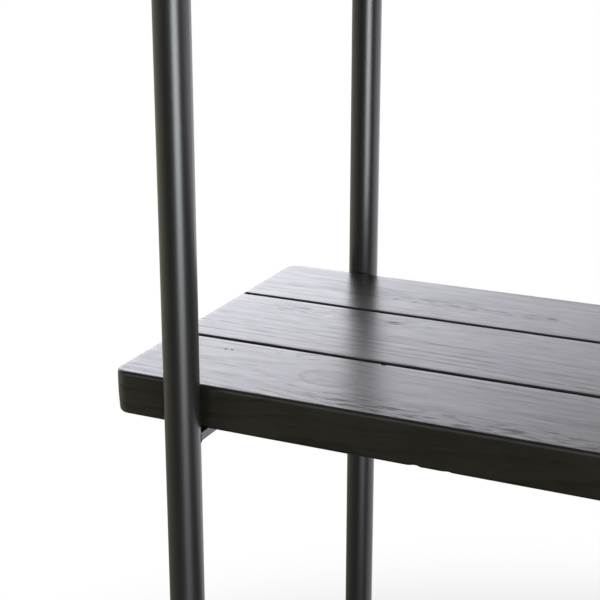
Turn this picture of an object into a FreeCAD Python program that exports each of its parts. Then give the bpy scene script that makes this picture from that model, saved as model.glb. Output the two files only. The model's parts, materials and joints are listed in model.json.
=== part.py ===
import FreeCAD, Part
import os

import Sketcher

# A free-standing shelving unit: two welded ladder frames of round tube and flat bar, and shelves of three
# planks each, which lie on the bars and are screwed to them from below. It stands on four levelling feet.
# Millimetres, +Z up. X runs along the shelves, the front faces -Y, and the origin is on the floor, under
# the middle.

SHELF_COUNT = 5

SIZES = {
    # uprights
    "tube_diameter": 25.0,
    "tube_wall": 1.5,
    "tube_length": 1800.0,
    # shelves
    "shelf_length": 1000.0,
    "outer_plank_width": 93.0,
    "middle_plank_width": 106.0,
    "plank_thickness": 32.0,
    "plank_gap": 4.0,
    "corner_radius": 12.0,
    "edge_radius": 3.0,
    "joint_edge_radius": 0.8,
    "end_overhang": 65.0,
    "tube_clearance": 0.5,
    "lowest_shelf_top": 150.0,
    "tube_above_shelf": 68.5,
    # cross bars and their welds
    "bar_inset": 1.0,
    "bar_thickness": 6.0,
    "weld_radius": 1.5,
    # wood screws
    "screw_diameter": 4.0,
    "screw_length": 24.0,
    "screw_head_diameter": 8.0,
    "screw_head_height": 2.6,
    "screw_head_rounding": 1.2,
    "screw_recess_width": 4.4,
    "screw_recess_slot": 1.0,
    "screw_recess_depth": 1.6,
    "screw_spacing": 50.0,
    "screw_hole_clearance": 0.25,
    "thread_clearance": 0.05,
    "pilot_depth_allowance": 1.0,
    # plugs in the tubes' tops
    "cap_thickness": 3.5,
    "cap_rounding": 1.5,
    "cap_plug_length": 18.0,
    "cap_plug_wall": 2.0,
    "cap_rib_height": 1.2,
    "plug_clearance": 0.3,
    # threaded inserts in the tubes' bottoms
    "insert_flange": 2.5,
    "insert_length": 30.0,
    # levelling feet
    "stem_diameter": 8.0,
    "stem_length": 26.0,
    "stem_chamfer": 0.8,
    "stem_clearance": 0.1,
    "collar_width": 13.0,
    "collar_height": 6.0,
    "spigot_diameter": 6.0,
    "spigot_length": 5.0,
    "spigot_clearance": 0.1,
    "pad_diameter": 30.0,
    "pad_rim_height": 4.0,
    "pad_rim_rounding": 1.0,
    "pad_height": 10.0,
    "pad_neck_diameter": 18.0,
}

# Places and sizes that follow from the driving ones
SHELF_DEPTH = "(2 * Sizes.outer_plank_width + Sizes.middle_plank_width + 2 * Sizes.plank_gap)"
SHELF_FRONT = f"(-{SHELF_DEPTH} / 2)"
TUBE_RADIUS = "(Sizes.tube_diameter / 2)"
TUBE_BORE_RADIUS = "(Sizes.tube_diameter / 2 - Sizes.tube_wall)"
TUBE_X = "(Sizes.shelf_length / 2 - Sizes.end_overhang)"
TUBE_TO_SHELF = f"({TUBE_RADIUS} + Sizes.tube_clearance)"
TUBE_Y = f"({SHELF_DEPTH} / 2 + {TUBE_TO_SHELF})"
TUBE_BOTTOM = "(Sizes.pad_height + Sizes.collar_height + Sizes.insert_flange)"
TUBE_TOP = f"({TUBE_BOTTOM} + Sizes.tube_length)"
HIGHEST_SHELF_TOP = f"({TUBE_TOP} - Sizes.tube_above_shelf)"
SHELF_PITCH = f"(({HIGHEST_SHELF_TOP} - Sizes.lowest_shelf_top) / {SHELF_COUNT - 1})"
BAR_WIDTH = "(Sizes.tube_diameter - 2 * Sizes.bar_inset)"
PLUG_RADIUS = f"({TUBE_BORE_RADIUS} - Sizes.plug_clearance)"
PILOT_RADIUS = "(Sizes.screw_diameter / 2 + Sizes.thread_clearance)"
PILOT_DEPTH = "(Sizes.screw_length - Sizes.bar_thickness + Sizes.pilot_depth_allowance)"

# Each plank of a shelf: its name, its width, and how far its front edge lies behind the shelf's
PLANKS = (
    ("front", "Sizes.outer_plank_width", "0"),
    ("middle", "Sizes.middle_plank_width", "(Sizes.outer_plank_width + Sizes.plank_gap)"),
    (
        "rear",
        "Sizes.outer_plank_width",
        "(Sizes.outer_plank_width + Sizes.middle_plank_width + 2 * Sizes.plank_gap)",
    ),
)
SIDES = (("left", f"-{TUBE_X}"), ("right", TUBE_X))
ENDS = (("front", f"-{TUBE_Y}"), ("rear", TUBE_Y))
UP = FreeCAD.Vector(0, 0, 1)
NEAR = 1e-4


def shelf_top(level):
    return f"(Sizes.lowest_shelf_top + {level} * {SHELF_PITCH})"


def bar_bottom(level):
    return f"({shelf_top(level)} - Sizes.plank_thickness - Sizes.bar_thickness)"


def screw_rows(width):
    """The distances of a plank's two rows of screws from its own front edge."""
    return tuple(f"({width} / 2 {sign} Sizes.screw_spacing / 2)" for sign in "-+")


doc = FreeCAD.newDocument("shelving_unit")
sheet = doc.addObject("Spreadsheet::Sheet", "Sizes")
for row, (alias, size) in enumerate(SIZES.items(), start=1):
    sheet.set(f"A{row}", alias)
    sheet.set(f"B{row}", str(size))
    sheet.setAlias(f"B{row}", alias)
doc.recompute()


def value(expression):
    """What an expression on the sheet comes to, as a number."""
    return float(sheet.evalExpression(expression))


def bind(thing, sizes, at=("0", "0", "0")):
    """Tie a thing's sizes and its place to the sheet."""
    for name, expression in sizes.items():
        thing.setExpression(name, expression)
    for axis, expression in zip("xyz", at):
        thing.setExpression(f"Placement.Base.{axis}", expression)
    return thing


def new_body(name, at):
    return bind(doc.addObject("PartDesign::Body", name), {}, at)


def add(body, kind, name, sizes, at=("0", "0", "0")):
    """Add a primitive to a body, or cut one from it: kind is such as AdditiveBox or SubtractiveCylinder."""
    return bind(body.newObject(f"PartDesign::{kind}", name), sizes, at)


def circles(body, name, rounds):
    """A sketch of circles on a body's own XY plane. Each is its radius and the place of its centre."""
    sketch = body.newObject("Sketcher::SketchObject", name)
    plane = next(f for f in body.Origin.OriginFeatures if f.Role == "XY_Plane")
    sketch.AttachmentSupport = (plane, [""])
    sketch.MapMode = "FlatFace"
    for radius, x, y in rounds:
        size, across, along = value(radius), value(x), value(y)
        circle = sketch.addGeometry(Part.Circle(FreeCAD.Vector(across, along, 0), UP, size))
        limits = [(radius, sketch.addConstraint(Sketcher.Constraint("Radius", circle, size)))]
        for kind, expression, distance in (("DistanceX", x, across), ("DistanceY", y, along)):
            place = Sketcher.Constraint(kind, -1, 1, circle, 3, distance)
            limits.append((expression, sketch.addConstraint(place)))
        for expression, index in limits:
            sketch.setExpression(f"Constraints[{index}]", expression)
    return sketch


def drill(body, name, rounds, depth):
    """Sink round holes into a body, upwards from its XY plane."""
    hole = body.newObject("PartDesign::Pocket", name)
    hole.Profile = circles(body, f"{name}_sketch", rounds)
    hole.Reversed = True
    hole.setExpression("Length", depth)
    return hole


def ease(body, kind, name, size, wanted):
    """Round or chamfer the edges of a body's last feature whose boxes pass the test."""
    doc.recompute()
    base = body.Tip
    edges = [f"Edge{i}" for i, edge in enumerate(base.Shape.Edges, start=1) if wanted(edge.BoundBox)]
    feature = body.newObject(f"PartDesign::{kind}", name)
    feature.Base = (base, edges)
    feature.setExpression("Radius" if kind == "Fillet" else "Size", size)
    return feature


def upright(name, x, y):
    """A round steel tube."""
    body = new_body(name, (x, y, TUBE_BOTTOM))
    pad = body.newObject("PartDesign::Pad", f"{name}_tube")
    pad.Profile = circles(body, f"{name}_ring", [(TUBE_RADIUS, "0", "0"), (TUBE_BORE_RADIUS, "0", "0")])
    pad.setExpression("Length", "Sizes.tube_length")
    return body


def cross_bar(name, x, level):
    """A flat bar from the front upright to the rear one, with ends hollowed to the tubes and screw holes."""
    body = new_body(name, (f"{x} - {BAR_WIDTH} / 2", f"-{TUBE_Y}", bar_bottom(level)))
    length = f"2 * {TUBE_Y}"
    middle = f"({BAR_WIDTH} / 2)"
    add(body, "AdditiveBox", f"{name}_flat",
        {"Length": BAR_WIDTH, "Width": length, "Height": "Sizes.bar_thickness"})
    for end, y in (("front", "0"), ("rear", length)):
        add(body, "SubtractiveCylinder", f"{name}_{end}_hollow",
            {"Radius": TUBE_RADIUS, "Height": "Sizes.bar_thickness"}, (middle, y, "0"))
    radius = "(Sizes.screw_diameter / 2 + Sizes.screw_hole_clearance)"
    rounds = [
        (radius, middle, f"({TUBE_TO_SHELF} + {offset} + {screw_row})")
        for _, width, offset in PLANKS
        for screw_row in screw_rows(width)
    ]
    drill(body, f"{name}_holes", rounds, "Sizes.bar_thickness")
    return body


def plank(name, place, width, offset, level):
    """One board of a shelf. Its edges are rounded, more on the shelf's outline than at a joint."""
    underside = f"{shelf_top(level)} - Sizes.plank_thickness"
    body = new_body(name, ("-Sizes.shelf_length / 2", f"{SHELF_FRONT} + {offset}", underside))
    add(body, "AdditiveBox", f"{name}_board",
        {"Length": "Sizes.shelf_length", "Width": width, "Height": "Sizes.plank_thickness"})
    outer_y = {"front": 0.0, "rear": value(width)}.get(place)

    def on_outer_side(box):
        return outer_y is not None and max(abs(box.YMin - outer_y), abs(box.YMax - outer_y)) < NEAR

    def is_joint_edge(box):
        at_front = box.YMax < NEAR
        at_rear = box.YMin > value(width) - NEAR
        return (at_front or at_rear) and not on_outer_side(box)

    if outer_y is not None:
        ease(body, "Fillet", f"{name}_corners", "Sizes.corner_radius",
             lambda box: box.ZLength > NEAR and on_outer_side(box))
    ease(body, "Fillet", f"{name}_outline", "Sizes.edge_radius",
         lambda box: box.ZLength < NEAR and not is_joint_edge(box))
    ease(body, "Fillet", f"{name}_joint_edges", "Sizes.joint_edge_radius", is_joint_edge)
    rounds = [
        (PILOT_RADIUS, x, screw_row)
        for x in ("Sizes.end_overhang", "(Sizes.shelf_length - Sizes.end_overhang)")
        for screw_row in screw_rows(width)
    ]
    drill(body, f"{name}_pilot_holes", rounds, PILOT_DEPTH)
    return body


def wood_screw():
    """A pan-head screw that points up. Its head seats at zero and has a cross recess, cut from below."""
    body = new_body("screw", ("0", "0", "0"))
    add(body, "AdditiveCylinder", "screw_head",
        {"Radius": "Sizes.screw_head_diameter / 2", "Height": "Sizes.screw_head_height"},
        ("0", "0", "-Sizes.screw_head_height"))
    ease(body, "Fillet", "screw_head_round", "Sizes.screw_head_rounding",
         lambda box: box.ZMax < -value("Sizes.screw_head_height") + NEAR)
    add(body, "AdditiveCylinder", "screw_shank",
        {"Radius": "Sizes.screw_diameter / 2", "Height": "Sizes.screw_length - Sizes.screw_diameter"})
    add(body, "AdditiveCone", "screw_tip",
        {"Radius1": "Sizes.screw_diameter / 2", "Radius2": "Sizes.screw_diameter / 20",
         "Height": "Sizes.screw_diameter"},
        ("0", "0", "Sizes.screw_length - Sizes.screw_diameter"))
    wide, narrow = "Sizes.screw_recess_width", "Sizes.screw_recess_slot"
    for name, along, across in (("x", wide, narrow), ("y", narrow, wide)):
        add(body, "SubtractiveBox", f"screw_recess_{name}",
            {"Length": along, "Width": across, "Height": "Sizes.screw_recess_depth"},
            (f"-{along} / 2", f"-{across} / 2", "-Sizes.screw_head_height"))
    return body


def weld_bead():
    """A bead round the sides and underside of a bar that leaves the tube at the origin along +Y."""
    half_bar = f"({BAR_WIDTH} / 2)"
    seam_y = f"sqrt({TUBE_RADIUS}^2 - {half_bar}^2)"
    arc = f"(2 * asin({half_bar} / {TUBE_RADIUS}))"
    rounds = []
    for side, x in (("left", f"-{half_bar}"), ("right", half_bar)):
        run = doc.addObject("Part::Cylinder", f"bead_{side}_run")
        bind(run, {"Radius": "Sizes.weld_radius", "Height": "Sizes.bar_thickness"}, (x, seam_y, "0"))
        corner = doc.addObject("Part::Sphere", f"bead_{side}_corner")
        bind(corner, {"Radius": "Sizes.weld_radius"}, (x, seam_y, "0"))
        rounds += [run, corner]
    under = doc.addObject("Part::Torus", "bead_under")
    bind(under, {"Radius1": TUBE_RADIUS, "Radius2": "Sizes.weld_radius", "Angle3": arc})
    under.setExpression("Placement.Rotation.Angle", f"90 deg - {arc} / 2")
    whole = doc.addObject("Part::MultiFuse", "bead_whole")
    whole.Shapes = rounds + [under]
    tube = doc.addObject("Part::Cylinder", "bead_tube")
    bind(tube, {"Radius": TUBE_RADIUS, "Height": "Sizes.bar_thickness + 2 * Sizes.weld_radius"},
         ("0", "0", "-Sizes.weld_radius"))
    bar = doc.addObject("Part::Box", "bead_bar")
    bind(bar, {"Length": BAR_WIDTH, "Width": "Sizes.tube_diameter", "Height": "Sizes.bar_thickness"},
         (f"-{half_bar}", "0", "0"))
    outside = doc.addObject("Part::Cut", "bead_outside_tube")
    outside.Base = whole
    outside.Tool = tube
    bead = doc.addObject("Part::Cut", "bead")
    bead.Base = outside
    bead.Tool = bar
    return bead


def group(name, piece, places):
    """Separate copies of one piece in one node. A place is the x, y, z and the turn about Z of a copy."""
    doc.recompute()
    copies = []
    for x, y, z, turn in places:
        copy = piece.Shape.copy()
        copy.Placement = FreeCAD.Placement(
            FreeCAD.Vector(value(x), value(y), value(z)), FreeCAD.Rotation(UP, turn)
        )
        copies.append(copy)
    node = doc.addObject("Part::Feature", name)
    node.Shape = Part.makeCompound(copies)
    return node


def top_cap(name, x, y):
    """A moulded cap on an upright's open top, with a hollow ribbed plug inside the tube."""
    body = new_body(name, (x, y, TUBE_TOP))
    add(body, "AdditiveCylinder", f"{name}_rim", {"Radius": TUBE_RADIUS, "Height": "Sizes.cap_thickness"})
    ease(body, "Fillet", f"{name}_round", "Sizes.cap_rounding",
         lambda box: box.ZMin > value("Sizes.cap_thickness") - NEAR)
    add(body, "AdditiveCylinder", f"{name}_plug", {"Radius": PLUG_RADIUS, "Height": "Sizes.cap_plug_length"},
        ("0", "0", "-Sizes.cap_plug_length"))
    for rib in (1, 2):
        add(body, "AdditiveCylinder", f"{name}_rib_{rib}",
            {"Radius": TUBE_BORE_RADIUS, "Height": "Sizes.cap_rib_height"},
            ("0", "0", f"-{rib} * Sizes.cap_plug_length / 3"))
    add(body, "SubtractiveCylinder", f"{name}_hollow",
        {"Radius": f"{PLUG_RADIUS} - Sizes.cap_plug_wall", "Height": "Sizes.cap_plug_length"},
        ("0", "0", "-Sizes.cap_plug_length"))
    return body


def foot_insert(name, x, y):
    """A threaded plug in an upright's open bottom. Its flange covers the tube's end."""
    body = new_body(name, (x, y, TUBE_BOTTOM))
    add(body, "AdditiveCylinder", f"{name}_flange", {"Radius": TUBE_RADIUS, "Height": "Sizes.insert_flange"},
        ("0", "0", "-Sizes.insert_flange"))
    add(body, "AdditiveCylinder", f"{name}_plug",
        {"Radius": TUBE_BORE_RADIUS, "Height": "Sizes.insert_length"})
    add(body, "SubtractiveCylinder", f"{name}_bore",
        {"Radius": "Sizes.stem_diameter / 2 + Sizes.stem_clearance",
         "Height": "Sizes.insert_flange + Sizes.insert_length"},
        ("0", "0", "-Sizes.insert_flange"))
    return body


def foot_stem(name, x, y):
    """A threaded stem with a hexagon collar to turn it by. Its spigot carries the pad."""
    body = new_body(name, (x, y, "Sizes.pad_height"))
    collar = add(body, "AdditivePrism", f"{name}_collar",
                 {"Circumradius": "Sizes.collar_width / sqrt(3)", "Height": "Sizes.collar_height"})
    collar.Polygon = 6
    add(body, "AdditiveCylinder", f"{name}_rod",
        {"Radius": "Sizes.stem_diameter / 2", "Height": "Sizes.stem_length"},
        ("0", "0", "Sizes.collar_height"))
    rod_top = value("Sizes.collar_height + Sizes.stem_length")
    ease(body, "Chamfer", f"{name}_lead_in", "Sizes.stem_chamfer", lambda box: box.ZMin > rod_top - NEAR)
    add(body, "AdditiveCylinder", f"{name}_spigot",
        {"Radius": "Sizes.spigot_diameter / 2", "Height": "Sizes.spigot_length"},
        ("0", "0", "-Sizes.spigot_length"))
    return body


def foot_pad(name, x, y):
    """A moulded pad that stands on the floor and turns on the stem's spigot."""
    body = new_body(name, (x, y, "0"))
    add(body, "AdditiveCylinder", f"{name}_rim",
        {"Radius": "Sizes.pad_diameter / 2", "Height": "Sizes.pad_rim_height"})
    ease(body, "Fillet", f"{name}_round", "Sizes.pad_rim_rounding", lambda box: box.ZLength < NEAR)
    add(body, "AdditiveCone", f"{name}_shoulder",
        {"Radius1": "Sizes.pad_diameter / 2 - 2 * Sizes.pad_rim_rounding",
         "Radius2": "Sizes.pad_neck_diameter / 2", "Height": "Sizes.pad_height - Sizes.pad_rim_height"},
        ("0", "0", "Sizes.pad_rim_height"))
    depth = "(Sizes.spigot_length + Sizes.spigot_clearance)"
    add(body, "SubtractiveCylinder", f"{name}_socket",
        {"Radius": "Sizes.spigot_diameter / 2 + Sizes.spigot_clearance", "Height": depth},
        ("0", "0", f"Sizes.pad_height - {depth}"))
    return body


def side_frame_welds(name, x, bead):
    """All the beads of one side frame: a front and a rear one at each bar."""
    places = [
        (x, y, bar_bottom(level), turn)
        for level in range(SHELF_COUNT)
        for (_, y), turn in zip(ENDS, (0, 180))
    ]
    return group(name, bead, places)


def shelf_screws(name, level, screw):
    """The screws of one shelf, in the order of its planks at each bar."""
    places = [
        (x, f"{SHELF_FRONT} + {offset} + {screw_row}", bar_bottom(level), 0)
        for _, x in SIDES
        for _, width, offset in PLANKS
        for screw_row in screw_rows(width)
    ]
    return group(name, screw, places)


def build():
    nodes = []
    for side, x in SIDES:
        for end, y in ENDS:
            corner = f"{end}_{side}"
            nodes.append(upright(f"{corner}_upright", x, y))
            nodes.append(top_cap(f"{corner}_top_cap", x, y))
            nodes.append(foot_insert(f"{corner}_foot_insert", x, y))
            nodes.append(foot_stem(f"{corner}_foot_stem", x, y))
            nodes.append(foot_pad(f"{corner}_foot_pad", x, y))
    for level in range(SHELF_COUNT):
        shelf = f"shelf_{level + 1}"
        for side, x in SIDES:
            nodes.append(cross_bar(f"{shelf}_{side}_bar", x, level))
        for place, width, offset in PLANKS:
            nodes.append(plank(f"{shelf}_{place}_plank", place, width, offset, level))
    bead = weld_bead()
    for side, x in SIDES:
        nodes.append(side_frame_welds(f"{side}_frame_welds", x, bead))
    screw = wood_screw()
    for level in range(SHELF_COUNT):
        nodes.append(shelf_screws(f"shelf_{level + 1}_screws", level, screw))
    doc.recompute()
    return nodes


def check(nodes):
    """Stop before anything is written if a feature failed or a piece has no sound solid."""
    for thing in doc.Objects:
        if "Invalid" in thing.State or "Error" in thing.State:
            raise RuntimeError(f"{thing.Name} failed")
    for node in nodes:
        if node.Shape.isNull() or not node.Shape.isValid() or not node.Shape.Solids:
            raise RuntimeError(f"{node.Label} has no sound solid")


nodes = build()
check(nodes)
os.makedirs("parts", exist_ok=True)
for node in nodes:
    node.Shape.exportStep(f"parts/{node.Label}.step")
print(f"{len(nodes)} nodes, {sum(len(node.Shape.Solids) for node in nodes)} solids")
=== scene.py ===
import json
import math
import random

import bmesh
import bpy
import numpy as np
from mathutils import Matrix, Vector

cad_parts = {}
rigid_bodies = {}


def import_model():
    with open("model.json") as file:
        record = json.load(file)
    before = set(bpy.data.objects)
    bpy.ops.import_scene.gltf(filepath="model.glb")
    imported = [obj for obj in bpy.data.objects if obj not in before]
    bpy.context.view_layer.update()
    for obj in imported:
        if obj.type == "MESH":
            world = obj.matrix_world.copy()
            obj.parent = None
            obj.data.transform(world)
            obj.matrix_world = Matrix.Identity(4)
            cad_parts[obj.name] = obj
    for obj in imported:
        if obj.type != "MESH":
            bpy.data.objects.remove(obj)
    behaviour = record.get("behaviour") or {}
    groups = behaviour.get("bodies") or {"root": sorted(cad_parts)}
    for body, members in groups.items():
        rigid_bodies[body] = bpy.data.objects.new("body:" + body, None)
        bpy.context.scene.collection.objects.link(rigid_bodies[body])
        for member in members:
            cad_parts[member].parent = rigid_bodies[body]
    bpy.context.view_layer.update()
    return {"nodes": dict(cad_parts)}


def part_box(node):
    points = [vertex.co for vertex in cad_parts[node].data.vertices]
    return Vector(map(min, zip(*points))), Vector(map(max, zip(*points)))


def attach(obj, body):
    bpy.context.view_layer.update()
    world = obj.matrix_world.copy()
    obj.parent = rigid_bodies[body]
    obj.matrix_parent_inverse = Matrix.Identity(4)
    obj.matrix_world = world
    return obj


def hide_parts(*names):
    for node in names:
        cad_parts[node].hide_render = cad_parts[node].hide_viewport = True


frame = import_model()
nodes = frame["nodes"]

# The looks of a shelving unit: black-stained pine planks on a frame of powder-coated round tube.
# Metres, in the frame's own axes: X along the shelves, the front faces -Y.

MM = 0.001
NEAR = 0.01 * MM
SIDES = ("left", "right")
ENDS = ("front", "rear")
CORNERS = [f"{end}_{side}" for side in SIDES for end in ENDS]
SHELVES = [f"shelf_{number}" for number in range(1, 6)]
PLACES = ("front", "middle", "rear")


# Shader maths

class Signal:
    """A socket that changes over a surface. Python's operators on it add Math nodes."""

    def __init__(self, finish, socket):
        self.finish = finish
        self.socket = socket

    def math(self, operation, *others):
        return self.finish.math(operation, self, *others)

    def __add__(self, other):
        return self.math("ADD", other)

    def __sub__(self, other):
        return self.math("SUBTRACT", other)

    def __rsub__(self, other):
        return self.finish.math("SUBTRACT", other, self)

    def __mul__(self, other):
        return self.math("MULTIPLY", other)

    def __neg__(self):
        return self.math("MULTIPLY", -1)

    def __truediv__(self, other):
        return self.math("DIVIDE", other)

    def __rtruediv__(self, other):
        return self.finish.math("DIVIDE", other, self)

    __radd__ = __add__
    __rmul__ = __mul__


class Finish:
    """A material, or the world, whose nodes are written as Python."""

    def __init__(self, block):
        block.use_nodes = True
        self.block = block
        self.tree = block.node_tree
        self.tree.nodes.clear()

    def node(self, kind, settings=None, sockets=None, out=0):
        """Add a node: its settings first, then values or links for its sockets. Gives one output."""
        made = self.tree.nodes.new(kind)
        for name, setting in (settings or {}).items():
            setattr(made, name, setting)
        for key, value in (sockets or {}).items():
            if isinstance(value, Signal):
                self.tree.links.new(value.socket, made.inputs[key])
            else:
                made.inputs[key].default_value = value
        return Signal(self, made.outputs[out]) if made.outputs else made

    def math(self, operation, *values):
        return self.node("ShaderNodeMath", {"operation": operation}, dict(enumerate(values)))

    def vector_math(self, operation, sockets, out=0):
        return self.node("ShaderNodeVectorMath", {"operation": operation}, sockets, out)

    def place(self):
        """The point on the piece, in the frame's metres."""
        return self.node("ShaderNodeTexCoord", out="Object")

    def split(self, vector):
        made = {"Vector": vector}
        return [self.node("ShaderNodeSeparateXYZ", None, made, axis) for axis in "XYZ"]

    def join(self, x, y, z):
        return self.node("ShaderNodeCombineXYZ", None, {"X": x, "Y": y, "Z": z})

    def attribute(self, name):
        return self.node("ShaderNodeAttribute", {"attribute_name": name}, out="Fac")

    def ray(self, kind):
        """1 for rays of one kind, such as Camera or Glossy, and 0 for all others."""
        return self.node("ShaderNodeLightPath", out=f"Is {kind} Ray")

    def noise(self, vector, scale=1.0, detail=2.0, roughness=0.5):
        sockets = {"Vector": vector, "Scale": scale, "Detail": detail, "Roughness": roughness}
        return self.node("ShaderNodeTexNoise", None, sockets)

    def drawn_noise(self, vector, scales, detail=2.0, roughness=0.5):
        """Noise with a scale for each axis, so that it is drawn out along some of them."""
        drawn = self.node("ShaderNodeMapping", None, {"Vector": vector, "Scale": scales})
        return self.noise(drawn, detail=detail, roughness=roughness)

    def rise(self, value, low, high):
        """A smooth step from 0 at low to 1 at high."""
        sockets = {"Value": value, "From Min": low, "From Max": high}
        return self.node("ShaderNodeMapRange", {"interpolation_type": "SMOOTHSTEP"}, sockets)

    def tint(self, share, first, second):
        """A colour between two: the first where share is 0, the second where it is 1."""
        return self.node("ShaderNodeMix", {"data_type": "RGBA"}, {0: share, 6: first, 7: second}, 2)

    def bump(self, height, strength, depth):
        sockets = {"Strength": strength, "Distance": depth, "Height": height}
        return self.node("ShaderNodeBump", None, sockets)

    def diffuse(self, colour):
        return self.node("ShaderNodeBsdfDiffuse", None, {"Color": colour})

    def mix_shaders(self, share, first, second):
        return self.node("ShaderNodeMixShader", None, {0: share, 1: first, 2: second})

    def surface(self, **sockets):
        """The finish itself. Socket names are written with underscores for their spaces."""
        named = {name.replace("_", " "): value for name, value in sockets.items()}
        return self.node("ShaderNodeBsdfPrincipled", None, named)

    def show(self, shader):
        kind = "World" if isinstance(self.block, bpy.types.World) else "Material"
        self.node(f"ShaderNodeOutput{kind}", None, {"Surface": shader})
        return self.block


def new_finish(name):
    return Finish(bpy.data.materials.new(name))


def shade(red, green, blue):
    return (red, green, blue, 1.0)


# Finishes

RING_WIDTH = 6.2 * MM
STAIN_DARK = shade(0.0068, 0.0056, 0.0029)
STAIN_PALE = shade(0.0150, 0.0127, 0.0074)
STAIN_ON_ENDS = shade(0.008, 0.007, 0.005)
COAT_DARK = shade(0.0082, 0.0080, 0.0066)
COAT_PALE = shade(0.0120, 0.0117, 0.0100)


def growth_lines(wood, point, growth):
    """The hard, late wood of each growth ring, which shows more on some rings than on others."""
    wander = wood.drawn_noise(point, (4, 40, 40), detail=3)
    phase = growth / RING_WIDTH + (wander - 0.5) * 0.5
    ring = phase.math("FRACT")
    number = phase.math("FLOOR")
    weight = wood.node("ShaderNodeTexWhiteNoise", {"noise_dimensions": "1D"}, {"W": number})
    line = wood.rise(ring, 0.58, 0.9) * (1 - wood.rise(ring, 0.94, 1.0))
    return line * (0.15 + 0.85 * weight)


def stained_pine():
    """Brushed pine, stained black under thin satin lacquer.

    Three values ride on the planks: growth, the distance from the log's pith, steepness, how steeply the
    growth rings meet the surface, and torn, how far the plane tore the grain.
    """
    wood = new_finish("stained_pine")
    point = wood.place()
    along, across, height = wood.split(point)
    growth = wood.attribute("growth")
    steepness = wood.attribute("steepness")
    torn = wood.attribute("torn")

    # Marks drawn out along the grain, which bends with the growth rings
    flow = wood.join(along, across + growth * 0.5, height + growth * 0.5)
    streak = wood.drawn_noise(flow, (7, 260, 260), detail=4, roughness=0.65)
    fibre = wood.drawn_noise(flow, (30, 1300, 1300), detail=3, roughness=0.6)
    scratch = wood.rise(wood.drawn_noise(flow, (11, 620, 620)), 0.56, 0.70)
    lumps = wood.drawn_noise(flow, (75, 330, 330))
    fleck = wood.drawn_noise(flow, (40, 420, 420)) - 0.5
    pore = wood.rise(fibre, 0.64, 0.74)
    crisp = 0.35 + 0.85 * wood.rise(steepness, 0.4, 0.95)
    late = growth_lines(wood, point, growth) * crisp * wood.rise(lumps, 0.28, 0.5)
    tear = torn * wood.rise(lumps, 0.48, 0.64)

    # The stain is uneven, with a tone of its own on the sawn ends
    blotch = wood.noise(point, scale=16, detail=4, roughness=0.6)
    tone = 0.6 * blotch + 0.4 * fibre - 0.15 * late
    facing = wood.node("ShaderNodeNewGeometry", out="Normal")
    end_grain = wood.rise(wood.split(facing)[0].math("ABSOLUTE"), 0.6, 0.9)
    stain = wood.tint(wood.rise(tone, 0.25, 0.75), STAIN_DARK, STAIN_PALE)
    stain = wood.tint(end_grain * 0.5, stain, STAIN_ON_ENDS)

    # Late wood, scratches, pores and tears lie deeper than the rest, and hold less lacquer
    relief = 0.3 * streak + 0.3 * fibre + 0.4 * fleck - 0.7 * late - 0.35 * scratch - 0.4 * pore - 1.9 * tear
    rough = 0.34 + 0.10 * streak + 0.12 * late + 0.10 * pore + 0.12 * end_grain
    worn = 0.38 * streak - 0.9 * fleck + 0.46 * late + 0.22 * scratch + 0.25 * pore + 0.7 * tear
    lacquer = (1.19 - worn) * (1 - 0.6 * end_grain)
    return wood.show(wood.surface(
        Base_Color=stain,
        Roughness=rough,
        Coat_Weight=lacquer,
        Coat_Roughness=0.29,
        Normal=wood.bump(relief, 0.30, 0.30 * MM),
    ))


def powder_coat():
    """Satin black powder coat, with the fine orange peel that such a coat dries to."""
    coat = new_finish("powder_coat")
    point = coat.place()
    peel = coat.noise(point, scale=620, detail=2)
    grit = coat.noise(point, scale=2600, detail=1)
    cloud = coat.drawn_noise(point, (9, 9, 3), detail=3)
    return coat.show(coat.surface(
        Base_Color=coat.tint(coat.rise(cloud, 0.3, 0.7), COAT_DARK, COAT_PALE),
        Roughness=0.34 + 0.06 * cloud + 0.03 * grit,
        Coat_Weight=0.85 + 0.25 * peel,
        Coat_Roughness=0.32,
        Normal=coat.bump(0.8 * peel + 0.2 * grit, 0.08, 0.12 * MM),
    ))


def moulded_plastic(name, dark, pale, roughness):
    """Moulded plastic with the fine spark-eroded texture of its mould."""
    plastic = new_finish(name)
    point = plastic.place()
    spark = plastic.noise(point, scale=3200, detail=2)
    flow = plastic.drawn_noise(point, (60, 60, 220))
    return plastic.show(plastic.surface(
        Base_Color=plastic.tint(plastic.rise(flow, 0.3, 0.7), dark, pale),
        Roughness=roughness + 0.12 * spark,
        Normal=plastic.bump(spark, 0.25, 0.10 * MM),
    ))


def plated_steel(name, dark, pale, roughness):
    """Zinc plated steel: a crystalline mottle with fine turning marks round Z."""
    plate = new_finish(name)
    point = plate.place()
    crystals = plate.noise(point, scale=900, detail=3)
    turning = plate.drawn_noise(point, (40, 40, 5200), detail=1)
    return plate.show(plate.surface(
        Base_Color=plate.tint(plate.rise(crystals, 0.35, 0.65), dark, pale),
        Metallic=1.0,
        Roughness=roughness + 0.14 * crystals,
        Normal=plate.bump(0.5 * turning + 0.5 * crystals, 0.12, 0.06 * MM),
    ))


pine = stained_pine()
coat = powder_coat()
cap_plastic = moulded_plastic(
    "cap_plastic", shade(0.014, 0.014, 0.014), shade(0.022, 0.022, 0.022), roughness=0.42)
pad_plastic = moulded_plastic(
    "pad_plastic", shade(0.024, 0.024, 0.025), shade(0.036, 0.036, 0.037), roughness=0.55)
zinc = plated_steel(
    "zinc", shade(0.42, 0.43, 0.45), shade(0.62, 0.62, 0.60), roughness=0.28)
black_zinc = plated_steel(
    "black_zinc", shade(0.035, 0.035, 0.038), shade(0.075, 0.075, 0.078), roughness=0.30)


# Modelling by hand

def work_on(piece):
    """Make a piece the active one, alone in the selection."""
    bpy.ops.object.select_all(action="DESELECT")
    piece.select_set(True)
    bpy.context.view_layer.objects.active = piece


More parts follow.
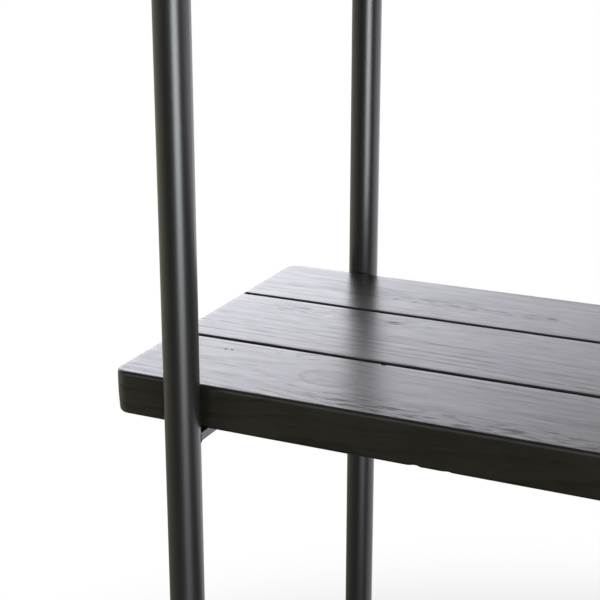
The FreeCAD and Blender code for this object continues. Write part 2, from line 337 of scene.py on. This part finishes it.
def edit(piece):
    work_on(piece)
    bpy.ops.object.mode_set(mode="EDIT")


def leave_edit_mode():
    bpy.ops.object.mode_set(mode="OBJECT")


def start(kind, name, **settings):
    """Add one primitive at its size and place, alone in the selection, and go into edit mode."""
    bpy.ops.object.select_all(action="DESELECT")
    getattr(bpy.ops.mesh, f"primitive_{kind}_add")(**settings)
    piece = bpy.context.object
    piece.name = name
    bpy.ops.object.transform_apply(location=True, rotation=True, scale=True)
    bpy.ops.object.mode_set(mode="EDIT")
    return piece


def pick_all():
    bpy.ops.mesh.select_all(action="SELECT")


def pick_edges(piece, wanted):
    """Select the edges whose two ends pass a test, and no others."""
    bpy.ops.mesh.select_mode(type="EDGE")
    bpy.ops.mesh.select_all(action="DESELECT")
    mesh = bmesh.from_edit_mesh(piece.data)
    for edge in mesh.edges:
        edge.select_set(wanted(*(vertex.co for vertex in edge.verts)))
    bmesh.update_edit_mesh(piece.data)


def cut(axis, places):
    """Bisect the whole piece across an axis at each place."""
    normal = [0.0, 0.0, 0.0]
    normal[axis] = 1.0
    for place in places:
        point = [0.0, 0.0, 0.0]
        point[axis] = place
        pick_all()
        bpy.ops.mesh.bisect(plane_co=point, plane_no=normal)


def apply_modifier(piece, kind, **settings):
    work_on(piece)
    modifier = piece.modifiers.new(kind.lower(), kind)
    for name, value in settings.items():
        setattr(modifier, name, value)
    bpy.ops.object.modifier_apply(modifier=modifier.name)


def smooth(piece, degrees):
    work_on(piece)
    bpy.ops.object.shade_smooth_by_angle(angle=math.radians(degrees))


def smooth_edges(piece, degrees):
    """Smooth shading that stays flat on the wide faces, so that only the rounded edges bend it."""
    smooth(piece, degrees)
    apply_modifier(piece, "WEIGHTED_NORMAL", keep_sharp=True)


def join(pieces):
    """Make one piece of several. It keeps the first one's name."""
    work_on(pieces[0])
    for piece in pieces:
        piece.select_set(True)
    bpy.ops.object.join()
    return pieces[0]


def copy_of(piece, name, change):
    """A copy with a mesh of its own, moved by a matrix."""
    mesh = piece.data.copy()
    mesh.transform(change)
    twin = bpy.data.objects.new(name, mesh)
    bpy.context.scene.collection.objects.link(twin)
    return twin


def finish_piece(piece, material, slot, body, *stands_for):
    piece.data.materials.clear()
    piece.data.materials.append(material)
    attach(piece, body)
    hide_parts(*stands_for)


def points_of(mesh):
    points = np.empty(len(mesh.vertices) * 3)
    mesh.vertices.foreach_get("co", points)
    return points.reshape(-1, 3)


def move_points(mesh, points):
    mesh.vertices.foreach_set("co", points.ravel())
    mesh.update()


# Planks

CORNER_ROUND = 12 * MM
CORNER_STEPS = 10
RIM_ROUND = 3 * MM
RIM_STEPS = 5
JOINT_ROUND = 0.9 * MM
CUT_ALONG = 8 * MM
CUT_ACROSS = 4 * MM
LAYERS = 4
GRID_MERGE = 0.05 * MM
END_SANDING = 1.2 * MM
EDGE_WAVER = 0.22 * MM
EDGE_WAVES = 4
# About a full turn, in radians, for the random phase of a wave
ANY_PHASE = 6.3


def rounding(a, b, outer):
    """How far the edge from a to b is rounded: less where two planks meet than on the shelf's outline."""
    upright = abs(a.z - b.z) > NEAR
    if upright and outer is not None and abs(a.y - outer) < CORNER_ROUND + NEAR:
        return 0.0
    along = abs(a.y - b.y) < NEAR
    at_joint = outer is None or abs(a.y - outer) > NEAR
    return JOINT_ROUND if upright or (along and at_joint) else RIM_ROUND


def round_edges(piece, outer):
    """Round a plank's edges by their own amounts. The corners of the shelf are round already."""
    weights = piece.data.attributes.new("bevel_weight_edge", "FLOAT", "EDGE")
    for edge, weight in zip(piece.data.edges, weights.data):
        ends = (piece.data.vertices[index].co for index in edge.vertices)
        weight.value = rounding(*ends, outer) / RIM_ROUND
    apply_modifier(
        piece, "BEVEL", width=RIM_ROUND, segments=RIM_STEPS, limit_method="WEIGHT", use_clamp_overlap=False)


def board(place):
    """One plank of the lowest shelf, with its rounded edges, cut into a grid that can be shaped further."""
    low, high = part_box(f"shelf_1_{place}_plank")
    piece = start("cube", f"{place}_board", size=1, location=(low + high) / 2, scale=high - low)
    outer = {"front": low.y, "rear": high.y}.get(place)
    if outer is not None:
        pick_edges(piece, lambda a, b: abs(a.z - b.z) > NEAR and abs(a.y - outer) < NEAR)
        bpy.ops.mesh.bevel(offset=CORNER_ROUND, segments=CORNER_STEPS, affect="EDGES")
    leave_edit_mode()
    round_edges(piece, outer)
    edit(piece)
    cut(0, np.arange(low.x + CUT_ALONG, high.x - NEAR, CUT_ALONG))
    cut(1, np.arange(low.y + CUT_ACROSS, high.y - NEAR, CUT_ACROSS))
    cut(2, np.linspace(low.z, high.z, LAYERS + 1)[1:-1])
    pick_all()
    bpy.ops.mesh.remove_doubles(threshold=GRID_MERGE)
    leave_edit_mode()
    return piece


# Ranges for what is drawn at random for a log and its knot, in millimetres
PITH_ACROSS = (-45, 45)
PITH_DEPTH = (14, 60)
SWAY = (1, 4)
KNOT_ACROSS = (-35, 35)
KNOT_SIZE = (6, 11)
# The same, in metres along the plank
SWAY_LENGTH = (0.05, 0.2)
KNOT_ALONG = (-0.42, 0.42)
KNOT_CHANCE = 0.75


class Log:
    """The log that a plank was sawn from: where its pith runs, how it sways, and its knots.

    What isn't given is drawn at random: the pith's place across and below the top, and perhaps a knot.
    """

    def __init__(self, seed, middle, top, pith=None, bulge=None, knots=(), offset=None):
        dice = random.Random(seed)
        self.pith_y = middle + dice.uniform(*PITH_ACROSS) * MM if pith is None else pith[0]
        self.pith_z = top - dice.uniform(*PITH_DEPTH) * MM if pith is None else top - pith[1]
        self.slant = dice.uniform(-0.02, 0.02)
        self.tilt = dice.uniform(-0.035, 0.035)
        self.waves = [self.wave(dice) for _ in range(3)]
        self.offset = dice.uniform(0, RING_WIDTH) if offset is None else offset
        self.bulge = bulge
        self.knots = list(knots)
        if pith is None and dice.random() < KNOT_CHANCE:
            spot = (dice.uniform(*KNOT_ALONG), middle + dice.uniform(*KNOT_ACROSS) * MM)
            self.knots.append((*spot, dice.uniform(*KNOT_SIZE) * MM))

    @staticmethod
    def wave(dice):
        """One wave of the log's sway: its size, its length and its phase."""
        size = dice.uniform(*SWAY) * MM
        length = dice.uniform(*SWAY_LENGTH)
        return size, length, dice.uniform(0, ANY_PHASE)

    def growth(self, points):
        """How far each point lies from the pith, bent round the knots, and how steeply the rings rise."""
        along, across, height = points.T
        sway = sum(size * np.sin(along / length + phase) for size, length, phase in self.waves)
        side = across - self.pith_y - self.slant * along - sway
        depth = height - self.pith_z - self.tilt * along - 0.5 * sway
        if self.bulge:
            centre, reach, rise = self.bulge
            depth = depth + rise * (1 - np.exp(-((along - centre) / reach) ** 2))
        distance = np.hypot(side, depth)
        steepness = np.abs(side) / distance
        for x, y, size in self.knots:
            spread = ((along - x) / (2.6 * size)) ** 2 + ((across - y) / size) ** 2
            distance = distance + 1.6 * size * np.exp(-spread)
        return distance + self.offset, steepness


SHELF_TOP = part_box("shelf_3_middle_plank")[1].z
SHELF_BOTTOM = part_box("shelf_3_middle_plank")[0].z
SHELF_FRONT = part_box("shelf_3_front_plank")[0].y
FRONT_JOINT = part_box("shelf_3_front_plank")[1].y
DOWN = (0, 0, -1)
DOWN_AND_IN = (0, -0.8, -0.6)
UP_AND_IN = (0, 0.6, 0.8)

# The three planks that the photograph shows: the pith's place across and below the top. The front one also
# has a bulge (place, reach and rise), a knot (place along and across, and size) and an offset of its rings.
SEEN_LOGS = {
    "shelf_3_front_plank": {
        "pith": (-112 * MM, 26 * MM),
        "bulge": (-355 * MM, 26 * MM, 6.5 * MM),
        "knots": [(-398 * MM, -70 * MM, 5 * MM)],
        "offset": 5.1 * MM,
    },
    "shelf_3_middle_plank": {"pith": (34 * MM, 68 * MM)},
    "shelf_3_rear_plank": {"pith": (104 * MM, 80 * MM)},
}
# Pits and chips that the photograph shows on a plank: place, reach, depth and direction
SEEN_DENTS = {
    "shelf_3_front_plank": [
        ((-446.6 * MM, -76 * MM, SHELF_TOP), 1.0 * MM, 0.8 * MM, DOWN),
        ((-441.5 * MM, -76 * MM, SHELF_TOP), 1.0 * MM, 0.8 * MM, DOWN),
        ((-328 * MM, FRONT_JOINT, SHELF_TOP), 2.5 * MM, 1.6 * MM, DOWN_AND_IN),
        ((-270 * MM, SHELF_FRONT, SHELF_BOTTOM), 4.5 * MM, 1.6 * MM, UP_AND_IN),
        ((-247 * MM, SHELF_FRONT, SHELF_BOTTOM), 4 * MM, 0.7 * MM, UP_AND_IN),
    ],
}
# Where the plane tore the grain of a plank that the photograph shows: from, to, line and width
SEEN_TEARS = {"shelf_3_front_plank": (-370 * MM, 60 * MM, -138 * MM, 11 * MM)}
# Where a plank's grid is cut finer for a dent, in reaches from the dent's middle
DENT_CUTS = (-1.4, -1.0, -0.6, -0.2, 0.2, 0.6, 1.0, 1.4)
TEAR_FADE = 40 * MM
TEAR_MARGIN = 15 * MM
# Ranges for a tear drawn at random, in millimetres
TEAR_LENGTH = (80, 250)
TEAR_WIDTH = (4, 9)


def age(piece, low, high, seed):
    """Sand the lower part of a plank's ends back, and let its long edges waver a little, always inwards."""
    dice = random.Random(seed)
    points = points_of(piece.data)
    middle = np.array((low + high) / 2)
    half = np.array((high - low) / 2)
    from_middle = points - middle
    to_end = half[0] - np.abs(from_middle[:, 0])
    at_end = np.clip(1 - to_end / CORNER_ROUND, 0, 1)
    lowness = np.clip(-from_middle[:, 2] / half[2], 0, 1)
    from_middle[:, 0] -= np.sign(from_middle[:, 0]) * END_SANDING * at_end * lowness
    waver = np.zeros(len(points))
    for _ in range(EDGE_WAVES):
        waver += np.sin(from_middle[:, 0] / dice.uniform(0.006, 0.04) + dice.uniform(0, ANY_PHASE))
    waver = EDGE_WAVER * (0.5 + waver / (2 * EDGE_WAVES))
    rim = np.clip(1 - (half[1] - np.abs(from_middle[:, 1])) / RIM_ROUND, 0, 1)
    rim *= np.clip(1 - (half[2] - np.abs(from_middle[:, 2])) / RIM_ROUND, 0, 1)
    from_middle[:, 1] -= np.sign(from_middle[:, 1]) * waver * rim
    from_middle[:, 2] -= np.sign(from_middle[:, 2]) * waver * rim
    move_points(piece.data, middle + from_middle)


def dent(piece, spot, reach, depth, inward):
    """Press a small dent into a plank, after cutting its grid finer there."""
    edit(piece)
    for axis in range(2):
        cut(axis, [spot[axis] + step * reach for step in DENT_CUTS])
    leave_edit_mode()
    points = points_of(piece.data)
    distance = np.linalg.norm(points - np.array(spot), axis=1) / reach
    press = depth * np.clip(1 - distance ** 2, 0, 1) ** 1.5
    move_points(piece.data, points + press[:, None] * np.array(inward))


def random_tear(seed, low, high):
    dice = random.Random(f"{seed} tear")
    begin = dice.uniform(low.x, high.x - TEAR_LENGTH[1] * MM)
    line = dice.uniform(low.y + TEAR_MARGIN, high.y - TEAR_MARGIN)
    end = begin + dice.uniform(*TEAR_LENGTH) * MM
    return begin, end, line, dice.uniform(*TEAR_WIDTH) * MM


def torn_grain(points, begin, end, line, width):
    """How far the grain is torn at each point: most along a line, and fading out round it."""
    along, across, _ = points.T
    length = np.clip((along - begin) / TEAR_FADE, 0, 1) * np.clip((end - along) / TEAR_FADE, 0, 1)
    return length * np.exp(-((across - line) / width) ** 2)


def carry(piece, name, values):
    """Give each point of a piece a value that its finish reads."""
    attribute = piece.data.attributes.new(name, "FLOAT", "POINT")
    attribute.data.foreach_set("value", values)


def grain(piece, node, low, high):
    """Give a plank the grain of its log, and the place where the plane tore it."""
    log = Log(node, (low.y + high.y) / 2, high.z, **SEEN_LOGS.get(node, {}))
    points = points_of(piece.data)
    growth, steepness = log.growth(points)
    tear = SEEN_TEARS.get(node, random_tear(node, low, high))
    carry(piece, "growth", growth)
    carry(piece, "steepness", steepness)
    carry(piece, "torn", torn_grain(points, *tear))


def make_planks():
    """The planks of all shelves, from one board for each place in a shelf."""
    boards = {place: board(place) for place in PLACES}
    first_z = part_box("shelf_1_middle_plank")[0].z
    for shelf in SHELVES:
        for place in PLACES:
            node = f"{shelf}_{place}_plank"
            low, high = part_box(node)
            lift = Matrix.Translation((0, 0, low.z - first_z))
            piece = copy_of(boards[place], f"{node}_stained", lift)
            age(piece, low, high, node)
            for mark in SEEN_DENTS.get(node, ()):
                dent(piece, *mark)
            grain(piece, node, low, high)
            smooth_edges(piece, degrees=40)
            finish_piece(piece, pine, "stained_wood", "frame", node)
    for piece in boards.values():
        bpy.data.objects.remove(piece)


# Cross bars

BAR_EASING = 0.5 * MM
FLAT = math.radians(1)
SHARP = math.radians(50)


def make_bars():
    """The bars of the CAD with their edges eased, as a coat leaves them."""
    for shelf in SHELVES:
        for side in SIDES:
            node = f"{shelf}_{side}_bar"
            piece = copy_of(nodes[node], f"{node}_eased", Matrix())
            edit(piece)
            pick_all()
            bpy.ops.mesh.remove_doubles(threshold=NEAR)
            bpy.ops.mesh.dissolve_limited(angle_limit=FLAT)
            leave_edit_mode()
            bpy.ops.mesh.customdata_custom_splitnormals_clear()
            apply_modifier(piece, "BEVEL", width=BAR_EASING, segments=2, angle_limit=SHARP)
            smooth_edges(piece, degrees=35)
            finish_piece(piece, coat, "black_coat", "frame", node)


# Weld beads

BEAD_RADIUS = 0.9 * MM
SMALLEST_DROP = 0.92
RIPPLE = 1.2 * MM
BEAD_VOXEL = 0.25 * MM


def bead_path(radius, half_bar, thickness):
    """Places along the seam of a bar that leaves the tube at the origin along +Y: side, underside, side."""
    reach = math.asin(half_bar / radius)
    seam_y = math.sqrt(radius ** 2 - half_bar ** 2)
    rises = np.arange(0, thickness, RIPPLE)
    turns = np.linspace(-reach, reach, round(2 * reach * radius / RIPPLE))
    left = [(-half_bar, seam_y, z) for z in rises[::-1]]
    under = [(radius * math.sin(turn), radius * math.cos(turn), 0) for turn in turns[1:-1]]
    right = [(half_bar, seam_y, z) for z in rises]
    return left + under + right


def cut_away(piece, tool):
    apply_modifier(piece, "BOOLEAN", operation="DIFFERENCE", object=tool)
    bpy.data.objects.remove(tool)


def weld_bead(radius, half_bar, thickness):
    """One rippled bead: a run of drops melted together, without what lies in the tube and the bar."""
    dice = random.Random("weld")
    drops = []
    for place in bead_path(radius, half_bar, thickness):
        size = BEAD_RADIUS * dice.uniform(SMALLEST_DROP, 1.0)
        drops.append(start("ico_sphere", "drop", subdivisions=3, radius=size, location=place))
        leave_edit_mode()
    bead = join(drops)
    apply_modifier(bead, "REMESH", mode="VOXEL", voxel_size=BEAD_VOXEL)
    tube = start("cylinder", "tube_tool", vertices=96, radius=radius, depth=4 * thickness)
    leave_edit_mode()
    cut_away(bead, tube)
    middle = (0, radius, thickness / 2)
    size = (2 * half_bar, 2 * radius, thickness)
    bar = start("cube", "bar_tool", size=1, location=middle, scale=size)
    leave_edit_mode()
    cut_away(bead, bar)
    return bead


def make_welds():
    """The beads of each side frame, copied from one bead and joined."""
    bar_low, bar_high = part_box("shelf_1_left_bar")
    tube_low, tube_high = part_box("front_left_upright")
    half_bar = (bar_high.x - bar_low.x) / 2
    bead = weld_bead((tube_high.x - tube_low.x) / 2, half_bar, bar_high.z - bar_low.z)
    for side in SIDES:
        beads = []
        for shelf in SHELVES:
            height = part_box(f"{shelf}_{side}_bar")[0].z
            for end, turn in zip(ENDS, (0, math.pi)):
                low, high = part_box(f"{end}_{side}_upright")
                axis = (low + high) / 2
                change = Matrix.Translation((axis.x, axis.y, height)) @ Matrix.Rotation(turn, 4, "Z")
                beads.append(copy_of(bead, f"{side}_beads", change))
        piece = join(beads)
        smooth(piece, degrees=60)
        finish_piece(piece, coat, "black_coat", "frame", f"{side}_frame_welds")
    bpy.data.objects.remove(bead)


# Levelling feet

THREAD_PITCH = 1.25 * MM
THREAD_RADIUS = 4.0 * MM
ROOT_RADIUS = 3.3 * MM
# Shares of the pitch that a flank, the crest and the root of the thread take
FLANK = 0.40
CREST = 0.13
ROOT = 0.07
THREAD_STEPS = 28
COLLAR_CHAMFER = 0.6 * MM
COLLAR_EDGE = 0.3 * MM
SPIGOT_RADIUS = 3.0 * MM
SPIGOT_CHAMFER = 0.5 * MM


def thread(low, high):
    """A threaded rod on the Z axis from one height to another, wound from the outline of one turn."""
    rod = start("plane", "rod", size=MM)
    # The piece before may have left edges to be picked, and a lone point can't be picked as an edge
    bpy.ops.mesh.select_mode(type="VERT")
    bpy.ops.mesh.merge(type="CENTER")
    bpy.ops.transform.translate(value=(ROOT_RADIUS, 0, low - 2 * THREAD_PITCH))
    depth = THREAD_RADIUS - ROOT_RADIUS
    for out, share in ((depth, FLANK), (0, CREST), (-depth, FLANK), (0, ROOT)):
        step = (out, 0, share * THREAD_PITCH)
        bpy.ops.mesh.extrude_region_move(TRANSFORM_OT_translate={"value": step})
    leave_edit_mode()
    # Wound past both ends, and then cut off there
    turns = math.ceil((high - low) / THREAD_PITCH) + 3
    apply_modifier(rod, "SCREW", axis="Z", angle=2 * math.pi, screw_offset=THREAD_PITCH, iterations=turns,
                   steps=THREAD_STEPS, render_steps=THREAD_STEPS)
    edit(rod)
    pick_all()
    bpy.ops.mesh.remove_doubles(threshold=NEAR)
    # With the default threshold the cut ends stay open
    closed_cut = {"plane_no": (0, 0, 1), "use_fill": True, "threshold": NEAR / 10}
    bpy.ops.mesh.bisect(plane_co=(0, 0, low), clear_inner=True, **closed_cut)
    pick_all()
    bpy.ops.mesh.bisect(plane_co=(0, 0, high), clear_outer=True, **closed_cut)
    pick_all()
    bpy.ops.mesh.normals_make_consistent(inside=False)
    leave_edit_mode()
    return rod


def collar(low, high, width):
    """A hexagon collar whose corners are turned off at both ends."""
    piece = start("cylinder", "collar", vertices=6, radius=width / 2, depth=high - low,
                  location=(0, 0, (low + high) / 2), rotation=(0, 0, math.radians(30)))
    pick_edges(piece, lambda a, b: abs(a.z - b.z) < NEAR)
    bpy.ops.mesh.bevel(offset=COLLAR_CHAMFER, segments=2, affect="EDGES")
    pick_edges(piece, lambda a, b: abs(a.z - b.z) > (high - low) / 2)
    bpy.ops.mesh.bevel(offset=COLLAR_EDGE, segments=2, affect="EDGES")
    leave_edit_mode()
    return piece


def spigot(low, high):
    """The stem's lower end, which sits in the pad."""
    piece = start("cylinder", "spigot", vertices=32, radius=SPIGOT_RADIUS, depth=high - low,
                  location=(0, 0, (low + high) / 2))
    pick_edges(piece, lambda a, b: max(a.z, b.z) < low + NEAR)
    bpy.ops.mesh.bevel(offset=SPIGOT_CHAMFER, segments=2, affect="EDGES")
    leave_edit_mode()
    return piece


def make_stems():
    """The threaded stems of the feet. They are alike, so one is modelled on the Z axis and copied."""
    low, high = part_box("front_left_foot_stem")
    collar_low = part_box("front_left_foot_pad")[1].z
    collar_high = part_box("front_left_foot_insert")[0].z
    stem = join([
        thread(collar_high, high.z),
        collar(collar_low, collar_high, high.x - low.x),
        spigot(low.z, collar_low),
    ])
    smooth(stem, degrees=25)
    for corner in CORNERS:
        low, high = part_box(f"{corner}_foot_stem")
        axis = (low + high) / 2
        piece = copy_of(stem, f"{corner}_stem_threaded", Matrix.Translation((axis.x, axis.y, 0)))
        finish_piece(piece, zinc, "zinc_steel", f"{corner}_stem", f"{corner}_foot_stem")
    bpy.data.objects.remove(stem)


make_planks()
make_bars()
make_welds()
make_stems()


# Carried-over nodes

def refinish(node, material):
    for slot in nodes[node].material_slots:
        slot.material = material


for corner in CORNERS:
    refinish(f"{corner}_upright", coat)
    refinish(f"{corner}_top_cap", cap_plastic)
    refinish(f"{corner}_foot_insert", cap_plastic)
    refinish(f"{corner}_foot_pad", pad_plastic)
for shelf in SHELVES:
    refinish(f"{shelf}_screws", black_zinc)


# Studio

# The photograph's camera: its place, its turn and tilt in degrees, and its lens in millimetres
EYE = Vector((0.0192, -0.9488, 1.3021))
TURNED_LEFT = 24.90
LOOKING_DOWN = 17.63
LENS = 84.64
FLOOR_RADIUS = 3.0
# Where the floor starts to run out to white, and where it is white
WHITENING = (0.8, 1.7)
KEY_PLACE = (0.78, -1.35, 1.33)
LOW_KEY_PLACE = (*KEY_PLACE[:2], 0.36)
KEY_WIDTH = 0.95
KEY_AIM = (-0.3, -0.1)
WINDOW_PLACE = (1.91, -2.6, 0.825)
BACK_PLACE = (-2.0, 1.95, 1.75)
DAYLIGHT = (0.91, 0.95, 1.0)
SOFT_WHITE = (0.96, 0.97, 1.0)
WHITE = shade(1, 1, 1)
PALE_FLOOR = shade(0.92, 0.92, 0.92)
FLOOR_BOUNCE = shade(0.5, 0.49, 0.46)
ROOM_FILL = shade(0.42, 0.42, 0.43)
# Tints and least strength of what shiny surfaces mirror
COOL = shade(0.97, 0.97, 1.06)
OLIVE = shade(1.0, 0.96, 0.76)
DIM = 0.05


def make_camera():
    camera = bpy.data.objects.new("camera", bpy.data.cameras.new("camera"))
    camera.data.lens = LENS
    camera.location = EYE
    camera.rotation_euler = (math.radians(90 - LOOKING_DOWN), 0, math.radians(TURNED_LEFT))
    bpy.context.scene.collection.objects.link(camera)
    bpy.context.scene.camera = camera


def glow(finish, *lights):
    """The sum of some lights, each a colour and a strength that changes over what gives it off."""
    total = (0, 0, 0)
    for colour, strength in lights:
        light = finish.vector_math("SCALE", {0: colour[:3], "Scale": strength})
        total = finish.vector_math("ADD", {0: light, 1: total})
    return finish.node("ShaderNodeEmission", None, {"Color": total})


def make_floor():
    """A pale floor that keeps the shadow near the unit and runs out to white further off.

    In reflections it glows though it is no lamp, as a painted reflection: brighter behind the unit and in a
    painted pool of light below the key lamp, a little olive to the left, and dim elsewhere.
    """
    floor = start("circle", "floor", vertices=96, radius=FLOOR_RADIUS, fill_type="NGON")
    leave_edit_mode()
    paint = new_finish("floor")
    point = paint.place()
    across, back, _ = paint.split(point)
    reach = paint.vector_math("LENGTH", {0: point}, "Value")
    far = paint.node("ShaderNodeEmission", None, {"Color": WHITE})
    seen = paint.mix_shaders(paint.rise(reach, *WHITENING), paint.diffuse(PALE_FLOOR), far)
    # Painted reflection: glossy rays see the floor glow though it is no lamp, brighter behind the unit, with
    # a painted pool of light below the key lamp and a little olive to the left
    to_lamp = paint.vector_math("DISTANCE", {0: point, 1: (*KEY_PLACE[:2], 0)}, "Value")
    painted_light_pool = 1 - paint.rise(to_lamp, 0.2, 0.9)
    behind = paint.rise((back + 0.5 * across) / reach, 0.35, 0.75)
    left = paint.rise(-across, 0.6, 2.0)
    bright = (0.6 + 0.5 * paint.rise(reach, 1.2, 2.4)) * behind + 0.55 * painted_light_pool
    mirrored = glow(paint, (COOL, bright), (OLIVE, DIM + 0.2 * left))
    # Glossy rays see the painted glow; other rays that aren't the camera's see a plain grey floor
    unseen = paint.mix_shaders(paint.ray("Glossy"), paint.diffuse(FLOOR_BOUNCE), mirrored)
    floor.data.materials.append(paint.show(paint.mix_shaders(paint.ray("Camera"), unseen, seen)))


def make_world():
    """White to the camera, and an even grey to whatever it lights.

    In reflections the backdrop has a bright band a little above the horizon, brightest behind the unit and
    to the left. There is a faint sheen in front, and below the horizon an olive tint to the left.
    """
    world = bpy.data.worlds.new("studio")
    bpy.context.scene.world = world
    room = Finish(world)
    x, y, z = room.split(room.node("ShaderNodeTexCoord", out="Generated"))
    wash = (0.6 + 1.15 * room.rise(-x, 0.0, 0.55)) * (2.75 - 2.45 * room.rise(z, 0.24, 0.45))
    above = room.rise(y, 0.15, 0.75) * wash * (0.2 + 0.8 * room.rise(z, 0.14, 0.25))
    ahead = 0.5 * room.rise(-y, 0.2, 0.8) * room.rise(z, 0.08, 0.3)
    below = 1.2 * room.rise(y + 0.5 * x, 0.35, 0.75)
    left = 0.5 * room.rise(-x, 0.4, 1.0)
    upper = room.rise(z, -0.03, 0.1)
    lower = 1 - upper
    neutral = (above + ahead + 0.4 * left + DIM) * upper + below * lower
    mirror = glow(room, (COOL, neutral), (OLIVE, (left + DIM) * lower))
    white = room.node("ShaderNodeBackground", None, {"Color": WHITE})
    fill = room.node("ShaderNodeBackground", None, {"Color": ROOM_FILL})
    unseen = room.mix_shaders(room.ray("Glossy"), fill, mirror)
    room.show(room.mix_shaders(room.ray("Camera"), unseen, white))


def softbox(name, place, target, width, height, radiance, colour, lights=True, mirrored=True):
    """A rectangular lamp that faces its target. Radiance counts in whites."""
    lamp = bpy.data.lights.new(name, "AREA")
    lamp.shape = "RECTANGLE"
    lamp.size = width
    lamp.size_y = height
    lamp.color = colour
    lamp.energy = radiance * math.pi * width * height
    box = bpy.data.objects.new(name, lamp)
    box.location = place
    box.rotation_euler = (Vector(target) - Vector(place)).to_track_quat("-Z", "Y").to_euler()
    box.visible_camera = False
    box.visible_diffuse = lights
    box.visible_glossy = mirrored
    bpy.context.scene.collection.objects.link(box)
    return box


def light_only(lamp, material):
    """Let a lamp reach the pieces of one material and no others."""
    reached = bpy.data.collections.new(f"{lamp.name}_reach")
    for piece in bpy.data.objects:
        if piece.type == "MESH" and material.name in piece.data.materials:
            reached.objects.link(piece)
    lamp.light_linking.receiver_collection = reached


def make_lamps():
    """Soft lamps from the front right, and a weak one from behind.

    The key lamp isn't mirrored, because its image would turn the shelf tops white from behind. The window is
    only mirrored, and by the coated metal alone: it gives the tubes their long highlights.
    """
    softbox("key", KEY_PLACE, target=(*KEY_AIM, KEY_PLACE[2]), width=KEY_WIDTH, height=1.3,
            radiance=8.0, colour=DAYLIGHT, mirrored=False)
    window = softbox("window", WINDOW_PLACE, target=(-0.43, 0, WINDOW_PLACE[2]), width=1.85, height=1.05,
                     radiance=11.5, colour=DAYLIGHT, lights=False)
    light_only(window, coat)
    softbox("low_key", LOW_KEY_PLACE, target=(*KEY_AIM, LOW_KEY_PLACE[2]), width=KEY_WIDTH, height=0.6,
            radiance=0.8, colour=DAYLIGHT)
    softbox("back", BACK_PLACE, target=(-0.3, 0, 0.95), width=1.7, height=1.0,
            radiance=0.5, colour=SOFT_WHITE)


make_camera()
make_floor()
make_world()
make_lamps()

bpy.context.scene.view_settings.view_transform = "Standard"
